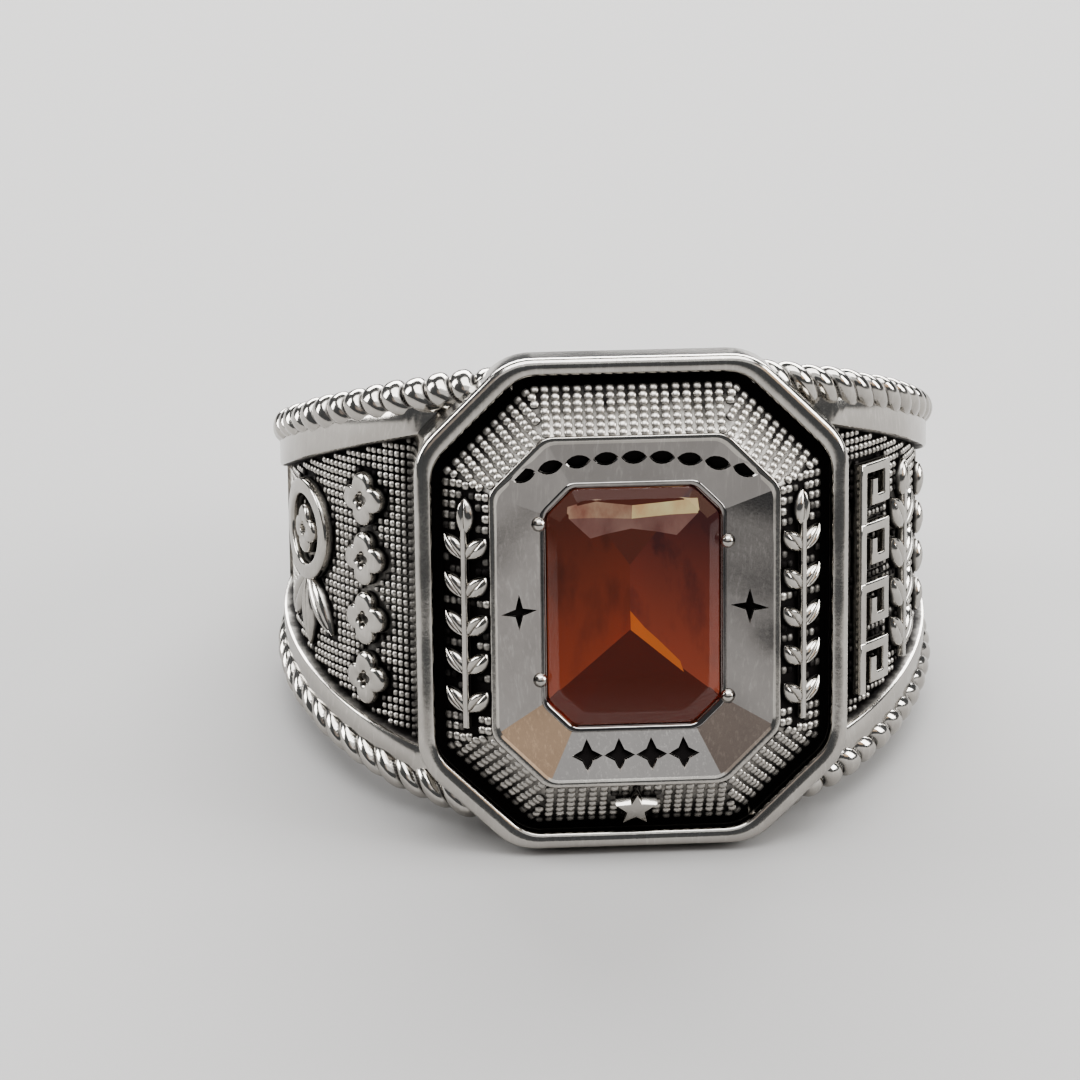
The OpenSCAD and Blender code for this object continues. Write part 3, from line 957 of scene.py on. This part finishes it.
def makeRightOrnaments():
    look = ornaments
    piece = newPiece()
    hook = [(-0.5, -0.5), (-0.5, 0.5), (0.5, 0.5), (0.5, -0.3), (-0.05, -0.3), (-0.05, 0.08)]
    size = look["hook"] - look["hookLine"]
    path = [(x * size, y * size) for x, y in hook]
    path[0] = (path[0][0], path[0][1] - look["hookLine"] / 2)
    path[-1] = (path[-1][0], path[-1][1] + look["hookLine"] / 2)
    # a Greek key: each hook's bar runs on to the top of the hook below it
    reach = look["rowPitch"] - look["hook"] / 2
    for i in rowSpots:
        lift = onPanel(1, look["rowAt"][1], i * look["rowPitch"] + look["rowOffset"])
        strokes = filled(path if i < -1 else [(path[0][0], -reach)] + path[1:])
        addStroke(piece, strokes, [look["hookLine"] / 2] * len(strokes), look["height"], lift)
        leafLift = onPanel(1, look["leafAt"], i * look["leafPitch"])
        addLeaf(piece, (0, 0), 90, *look["leaf"], look["height"], leafLift)
    addSprig(piece, *look["sprig"], look["height"], onPanel(1, *look["sprigAt"]))
    makePiece(piece, "shoulder_ornaments_right", [polished], sharpDegrees=42)
    return spotTree(piece["points"])


leftWorks = makeLeftOrnaments()
rightWorks = makeRightOrnaments()

borderWork = {
    "height": 0.3,
    "pairs": 5,
    "clear": [0.5, 0.12],     # what a sprig leaves of the border's length and width
    "star": [5, 0.78, 0.35],  # points, reach and inner reach
    "starHeight": 0.4,
    "starLevels": [(1, -0.1), (1, 0.85), (0.94, 0.97), (0.86, 1.0), (0.1, 1.0)],
}


def makeBorderOrnaments():
    look = borderWork
    piece = newPiece()
    length = 2 * (plate[1] - plate[3]) - look["clear"][0]
    width = foot[0] - plate[0] - look["clear"][1]
    for side in (-1, 1):
        addSprig(piece, length, width, look["pairs"], look["height"], onSlope(side))
    outline = starOutline(*look["star"])
    addRadial(piece, outline, (0, 0), look["starHeight"], onLowerSlope, look["starLevels"])
    makePiece(piece, "border_ornaments", [polished], sharpDegrees=42)
    return spotTree(piece["points"])


borderWorks = makeBorderOrnaments()

# stipple on the sloping border, in rows round the plate
borderStipple = {
    "rows": 7,
    "along": 0.387,
    "radius": 0.172,
    "height": 0.125,
    "sunk": 0.025,
    "size": [0.95, 1.04],     # no two domes are quite alike
    "shift": 0.008,
    "margin": 0.42,           # of the pitch, free at each crease
    "fill": 1.6,              # of the pitch: a wider gap at a crease takes one more dome
    "lowestRow": 0.5,         # less bright beside the channel
    "shadedLowerSide": 0.8,         # and, as painted shade, on the side turned to the floor
}


def makeBorderStipple(works):
    look = borderStipple
    chance = random.Random(7)
    piece = newPiece()
    low = [Vector(onFace(*c, slopeFoot)) for c in octagonCorners(foot)]
    high = [Vector(onFace(*c, plateTop - bezelLook["lipStep"])) for c in octagonCorners(plate)]
    sides = []
    for i in range(8):
        j = (i + 1) % 8
        across = (low[j] - low[i]).normalized()
        middle = (low[i] + low[j] + high[i] + high[j]) / 4
        normal = across.cross((high[i] + high[j]) / 2 - (low[i] + low[j]) / 2).normalized()
        sides.append((across, middle, -normal if normal.y > 0 else normal))
    for row in range(look["rows"]):
        t = (row + 0.45) / look["rows"]
        corners = [low[i].lerp(high[i], t) for i in range(8)]
        bright = look["lowestRow"] if row == 0 else 1.0
        spots = []
        ends = []
        for i, (across, middle, normal) in enumerate(sides):
            a, b = corners[i], corners[(i + 1) % 8]
            centreRow = a + across * (middle - a).dot(across)
            ahead = int((b - centreRow).dot(across) / look["along"] - look["margin"])
            behind = int((centreRow - a).dot(across) / look["along"] - look["margin"])
            spots += [(centreRow + across * k * look["along"], normal, across)
                      for k in range(-behind, ahead + 1)]
            ends.append(((centreRow - a).length - behind * look["along"],
                         (b - centreRow).length - ahead * look["along"]))
        for i, (across, _, normal) in enumerate(sides):
            # one more dome in the middle of the gap at a crease, where there is room for it
            gap = ends[i][0] + ends[i - 1][1]
            if gap > look["fill"] * look["along"]:
                if ends[i][0] > gap / 2:
                    spots.append((corners[i] + across * (ends[i][0] - gap / 2), normal, across))
                else:
                    across, _, normal = sides[i - 1]
                    spots.append((corners[i] - across * (ends[i - 1][1] - gap / 2), normal, across))
        for spot, normal, across in spots:
            across = (across - normal * across.dot(normal)).normalized()
            size = chance.uniform(*look["size"])
            shift = Vector((chance.uniform(-1, 1), 0, chance.uniform(-1, 1))) * look["shift"]
            light = bright * besideWork(works, spot)
            # painted shade on the domes of the side turned to the floor
            if normal.z < -0.2:
                light *= look["shadedLowerSide"]
            if light > 0:
                addDome(piece, spot + shift - normal * look["sunk"], normal, across, look["radius"] * size,
                        look["height"] * size, light)
    makePiece(piece, "border_stipple", [cast], sharpDegrees=80)


makeBorderStipple(borderWorks)

# stipple on the ground of both panels
panelStipple = {
    "pitch": 0.29,
    "radius": 0.134,
    "height": 0.1,
    "sunk": 0.018,
    "size": [0.92, 1.05],
    "from": 38.5,             # degrees from the bezel's centre
    "dullAndShaded": [0.15, 8.5],      # beside the bezel it is buffed this little, partly as painted shade from the bezel, less so over these degrees
    "bright": 0.95,
    "margin": 0.55,           # of the pitch, free beside the rail
}


def panelHalf(degrees):
    y = -bandShift - railRadius * math.cos(math.radians(degrees))
    return bandHalf(y) - shank["railInset"]


def makePanelStipple(side, name, works):
    look = panelStipple
    chance = random.Random(11 + side)
    piece = newPiece()
    least, reach = look["dullAndShaded"]
    step = math.degrees(look["pitch"] / panelRadius)
    degrees = look["from"] + step * 0.5
    while degrees < shank["panelEnd"] - step * 0.5:
        angle = math.radians(degrees)
        normal = Vector((side * math.sin(angle), -math.cos(angle), 0))
        across = Vector((0, 0, 1))
        half = panelHalf(degrees) - look["pitch"] * look["margin"]
        # less buffed beside the bezel: partly oxide the cloth leaves, partly painted shade from the bezel
        buffed = min(1.0, mix(least, 1.0, (degrees - look["from"]) / reach))
        count = int(half / look["pitch"])
        for k in range(-count, count + 1):
            size = chance.uniform(*look["size"])
            spot = Vector((0, -bandShift, k * look["pitch"])) + normal * (panelRadius - look["sunk"])
            light = besideWork(works, spot) * buffed
            if light > 0:
                addDome(piece, spot, normal, across, look["radius"] * size, look["height"] * size,
                        look["bright"] * light)
        degrees += step
    makePiece(piece, name, [cast], sharpDegrees=80)


makePanelStipple(-1, "panel_stipple_left", leftWorks)
makePanelStipple(1, "panel_stipple_right", rightWorks)


# the plate: eight facets that fall to the stone, with marks cut into them and blackened
marks = {
    "cut": [[1.0, 0.0, 1.0], [0.86, 0.06, 0.6], [0.84, 0.18, 0.0]],     # share of the outline, depth, worn
    "side": [4, 0.66, 0.19],  # points, reach and inner reach
    "low": [4, 0.56, 0.26],
    "lowPitch": 1.16,
    "leaf": [0.92, 0.54],
    "arc": 15.0,              # radius of the row of leaves
    "arcStep": 3.8,
    "arcUp": 0.2,             # from the middle of the plate's end
}


def leafOutline(length, width, centre, degrees, steps=8):
    turn = Matrix.Rotation(math.radians(degrees), 2)
    upper = leafEdge(length, width, steps)
    ring = list(reversed(upper)) + [(x, -y) for x, y in upper[1:-1]]
    return [tuple(Vector(centre) + turn @ Vector(p)) for p in ring]


def hopperHeight(u, v):
    shares = []
    for (low, _, outward), high in zip(octagonSides(opening), octagonCorners(lipInner)):
        near, far = outward.dot(low), outward.dot(Vector(high))
        shares.append((outward.dot(Vector((u, v))) - near) / (far - near))
    return mix(girdleHeight, plateTop, max(shares))


def markOutlines():
    look = marks
    sideMid = (plate[0] + girdle[0]) / 2
    endMid = (plate[1] + girdle[1]) / 2
    out = []
    for side in (-1, 1):
        out.append(((side * sideMid, 0), starOutline(*look["side"], (side * sideMid, 0))))
    for i in range(-4, 5):
        a = i * look["arcStep"]
        turn = math.radians(a)
        spot = (look["arc"] * math.sin(turn), endMid + look["arcUp"] - look["arc"] * (1 - math.cos(turn)))
        out.append((spot, leafOutline(*look["leaf"], spot, -a)))
    for i in rowSpots:
        spot = (i * look["lowPitch"], -endMid)
        out.append((spot, starOutline(*look["low"], spot)))
    return out


def insideOf(point, ring):
    x, y = point
    inside = False
    for (ax, ay), (bx, by) in zip(ring, ring[1:] + ring[:1]):
        if (ay > y) != (by > y) and x < (bx - ax) * (y - ay) / (by - ay) + ax:
            inside = not inside
    return inside


def makePlate():
    cuts = markOutlines()
    rings = [ring for _, ring in cuts]
    outer = octagonCorners(insetBy(lipInner, -0.04))
    inner = octagonCorners(opening)
    points = []
    edges = []
    for ring in [outer, inner] + rings:
        start = len(points)
        points += [Vector(p) for p in ring]
        edges += [(start + k, start + (k + 1) % len(ring)) for k in range(len(ring))]
    edges += [(k, 8 + k) for k in range(8)]
    flat, _, faces, _, _, _ = delaunay_2d_cdt(points, edges, [], 0, 1e-5)
    piece = newPiece()
    piece["points"] = [onFace(*p, min(hopperHeight(*p), plateTop)) for p in flat]
    piece["worn"] = [0.95] * len(flat)
    for face in faces:
        middle = sum((flat[k] for k in face), Vector((0, 0))) / len(face)
        if insideOf(middle, outer) and not any(insideOf(middle, ring) for ring in [inner] + rings):
            addFace(piece, face)
    # walls and blackened floors of the cut marks
    for spot, ring in cuts:
        middle = Vector(spot)
        n = len(ring)
        rows = []
        for share, depth, _ in marks["cut"]:
            row = [middle + (Vector(p) - middle) * share for p in ring]
            rows.append([onFace(*q, hopperHeight(*q) - depth) for q in row])
        addLoft(piece, rows, [[level] * n for _, _, level in marks["cut"]], slots=[[0] * n, [1] * n])
        addFan(piece, n, onFace(*spot, hopperHeight(*spot) - depth), 0.0, slot=1)
    edge = easedProfile([
        (insetBy(opening, -0.22) + [girdleHeight + 0.07, 0.75, 0.9], 0),
        (insetBy(opening, -0.17) + [girdleHeight + 0.12, 0.7, 1.0], 0.04),
        (insetBy(opening, -0.03) + [girdleHeight + 0.1, 0.65, 1.0], 0.06),
        (opening + [girdleHeight - 0.1, 0.6, 0.5], 0),
    ], steps=3)
    addOctagonLoft(piece, edge)
    # the seat behind the stone
    belt = girdleHeight - stoneSizes["girdleThickness"]
    keelHeight = belt - stoneSizes["pavilion"] * (1 + stoneSizes["gap"] / girdle[0])
    addLoft(piece, [[onFace(*c, height) for c in inner] for height in (girdleHeight, belt)],
            [[0.8] * 8, [0.6] * 8])
    addPavilion(piece, opening, belt, keelHeight, 0.7)
    makePiece(piece, "face_plate", [scuffed, cast], sharpDegrees=12, recalc=False)


def addPavilion(piece, shape, top, bottom, worn):
    start = len(piece["points"])
    half = stoneSizes["keel"] / 2
    piece["points"] += [onFace(*c, top) for c in octagonCorners(shape)]
    piece["points"] += [onFace(0, -half, bottom), onFace(0, half, bottom)]
    piece["worn"] += [worn] * 10
    for face in [(0, 1, 9, 8), (1, 2, 9), (2, 3, 9), (3, 4, 9),
                 (4, 5, 8, 9), (5, 6, 8), (6, 7, 8), (7, 0, 8)]:
        addFace(piece, [start + k for k in face])


makePlate()

prongs = {
    "radius": 0.27,
    "spots": [(-1, 0.36), (-1, -0.3), (1, 0.27), (1, -0.39)],     # side, share of the stone's length
    "out": 0.86,              # of the radius, from the seat's edge
    "up": 0.4,
    "squash": 0.97,
    "pole": 0.08,             # each bead starts this many radians from its pole
    "rings": 8,
    "sides": 20,
}


def makeProngs():
    look = prongs
    piece = newPiece()
    r = look["radius"]
    turns = [2 * math.pi * k / look["sides"] for k in range(look["sides"])]
    for side, share in look["spots"]:
        centre = Vector(onFace(side * (opening[0] + look["out"] * r), share * 2 * girdle[1],
                               girdleHeight + look["up"] * r))
        rows = []
        for i in range(look["rings"] + 1):
            a = mix(look["pole"], math.pi - look["pole"], i / look["rings"])
            wide, low = r * math.sin(a), -r * math.cos(a) * look["squash"]
            rows.append([tuple(centre + Vector((wide * math.cos(b), low, wide * math.sin(b))))
                         for b in turns])
        addLoft(piece, rows, [[1.0] * look["sides"]] * len(rows), capEnds=True)
    makePiece(piece, "bead_prongs", [polished], sharpDegrees=60)


makeProngs()


# the stone: flat table, narrow crown, and a roof-shaped underside that meets in a keel
stoneFacets = {
    "around": ["right", "right", "top", "left", "left", "bottom", "bottom", "bottom"],
    # painted reflections at the top end, and a sliver beside the keel's lower end with a painted glow
    "patches": {
        "olive": [(-2.27, 3.6), (-1.29, 3.8), (0, 3.62), (0, 3.08), (-2.27, 3.2)],
        "cream": [(0, 3.62), (2.28, 3.83), (2.34, 3.3), (0, 3.08)],
        "blush": [(-2.27, 3.2), (0, 3.08), (2.34, 3.3), (1.62, 2.42), (0, 2.68), (-1.47, 2.36)],
        "amber": [(0.0, -0.5), (0.5, -1.08), (0.98, -1.5), (1.72, -2.22), (1.85, -2.62), (0.02, -1.22)],
    },
}


def pavilionDepth(u, v):
    # how deep the underside is there, and which facet it belongs to
    depths = []
    for a, b, outward in octagonSides(girdle):
        keelEnd = Vector((0, math.copysign(stoneSizes["keel"] / 2, a.y + b.y)))
        depths.append(stoneSizes["pavilion"] * outward.dot(Vector((u, v)) - a) / outward.dot(keelEnd - a))
    return min(depths), depths.index(min(depths))


def addFacets(piece, outline, first, belt):
    look = stoneFacets
    half = stoneSizes["keel"] / 2
    n = len(outline)
    points = [Vector(q) for q in outline] + [Vector((0, -half)), Vector((0, half))]
    edges = [(k, (k + 1) % n) for k in range(n)] + [(n, n + 1)]
    for i in range(8):
        corner = i * (cornerSteps + sideSteps) + cornerSteps // 2
        edges.append((corner, n if outline[corner].y < 0 else n + 1))
    for patch in look["patches"].values():
        start = len(points)
        points += [Vector(p) for p in patch]
        edges += [(start + k, start + (k + 1) % len(patch)) for k in range(len(patch))]
    flat, _, faces, sources, _, _ = delaunay_2d_cdt(points, edges, [], 1, 1e-5)
    ids = []
    for p, source in zip(flat, sources):
        onEdge = [k for k in source if k < n]
        if onEdge:
            ids.append(first + onEdge[0])
        else:
            ids.append(len(piece["points"]))
            piece["points"].append(onFace(*p, belt - pavilionDepth(*p)[0]))
            piece["worn"].append(1.0)
    names = list(stoneLook["facets"])
    for face in faces:
        middle = sum((flat[k] for k in face), Vector((0, 0))) / len(face)
        tone = look["around"][pavilionDepth(*middle)[1]]
        for name, patch in look["patches"].items():
            if insideOf(middle, patch):
                tone = name
        addFace(piece, [ids[k] for k in face], 1 + names.index(tone))


def makeStone():
    look = stoneSizes
    table = insetBy(girdle, look["crownWidth"])
    crownTop = girdleHeight + look["crownHeight"]
    belt = girdleHeight - look["girdleThickness"]
    profile = easedProfile([
        (girdle + [belt, look["corner"], 1.0], 0),
        (girdle + [girdleHeight, look["corner"], 1.0], look["edge"]),
        (table + [crownTop, look["corner"] * 0.8, 1.0], look["edge"]),
        (insetBy(table, 0.1) + [crownTop, look["corner"] * 0.75, 1.0], 0),
    ], steps=3)
    piece = newPiece()
    addOctagonLoft(piece, profile)
    outline = roundedOctagon(girdle, look["corner"])
    addCap(piece, len(outline))
    addFacets(piece, outline, 0, belt)
    makePiece(piece, "cut_stone", stoneFinishes, sharpDegrees=9, stands="stone")


makeStone()

# pale floor and soft studio light, in metres and watts
studio = {
    "floor": 0.9,
    "near": "#979695",        # the floor's colour round the ring, lighter there: a painted pool of light
    "far": "#727170",
    "fade": [0.11, 0.38],     # it darkens between these distances, a painted falloff of the light
    "world": "#8c8f93",
    "worldStrength": 0.52,
    "target": (0, 0, 0.009),
    # spot, size, power and tint
    "lights": {
        "softbox above": [(0.01, -0.05, 0.33), (0.38, 0.24), 1.75, "#ffffff"],
        "softbox right": [(0.29, -0.06, 0.16), (0.18, 0.2), 1.15, "#ffffff"],
        "strip behind": [(0.03, 0.27, 0.18), (0.5, 0.16), 2.9, "#ffffff"],
        "fill left": [(-0.29, 0.05, 0.13), (0.12, 0.2), 0.85, "#ffffff"],
        "sheet in front": [(0.02, -0.24, 0.29), (0.36, 0.24), 0.27, "#ffffff"],
        "warm card": [(0.22, -0.22, 0.18), (0.12, 0.12), 0.05, "#ffdcb8"],
        "dim card": [(-0.17, -0.25, 0.19), (0.12, 0.12), 0.02, "#ffe8d8"],
    },
}


# Matt paper sweep: a pale ground that throws soft light back into the metal, painted lighter round the ring
# and darker far off as a painted pool of light.
def floorMaterial():
    look = studio
    material, tree = newMaterial("matt paper sweep")
    coords = addNode(tree, "TexCoord", {}).outputs["Object"]
    # painted pool of light: the floor darkens with distance from the ring
    away = addNode(tree, "VectorMath", {0: coords}, operation="LENGTH")
    fade = addNode(tree, "MapRange", {"Value": away, "From Min": look["fade"][0],
                                      "From Max": look["fade"][1]}, interpolation_type="SMOOTHSTEP")
    colour = addNode(tree, "Mix", {"Factor": fade, "A": hexColour(look["near"]), "B": hexColour(look["far"])},
                     data_type="RGBA")
    shader = addNode(tree, "BsdfPrincipled", {"Base Color": colour, "Roughness": 0.85})
    addNode(tree, "OutputMaterial", {"Surface": shader})
    return material


def addArea(name, spot, size, power, tint):
    data = bpy.data.lights.new(name, "AREA")
    data.shape = "RECTANGLE"
    data.size, data.size_y = size
    data.energy = power
    data.color = hexColour(tint)[:3]
    light = bpy.data.objects.new(name, data)
    light.location = spot
    ahead = Vector(studio["target"]) - light.location
    light.rotation_euler = ahead.to_track_quat("-Z", "Y").to_euler()
    bpy.context.scene.collection.objects.link(light)


def makeStudio():
    look = studio
    half = look["floor"] / 2
    mesh = bpy.data.meshes.new("floor")
    mesh.from_pydata([(-half, -half, 0), (half, -half, 0), (half, half, 0), (-half, half, 0)], [],
                     [(0, 1, 2, 3)])
    mesh.materials.append(floorMaterial())
    floor = bpy.data.objects.new("floor", mesh)
    bpy.context.scene.collection.objects.link(floor)
    for name, setting in look["lights"].items():
        addArea(name, *setting)
    world = bpy.data.worlds.new("soft studio")
    world.use_nodes = True
    world.node_tree.nodes.clear()
    glow = addNode(world.node_tree, "Background", {"Color": hexColour(look["world"]),
                                                   "Strength": look["worldStrength"]})
    addNode(world.node_tree, "OutputWorld", {"Surface": glow})
    bpy.context.scene.world = world
    view = bpy.context.scene.view_settings
    view.view_transform = "AgX"
    view.look = "AgX - Medium High Contrast"


makeStudio()
print("studio made")
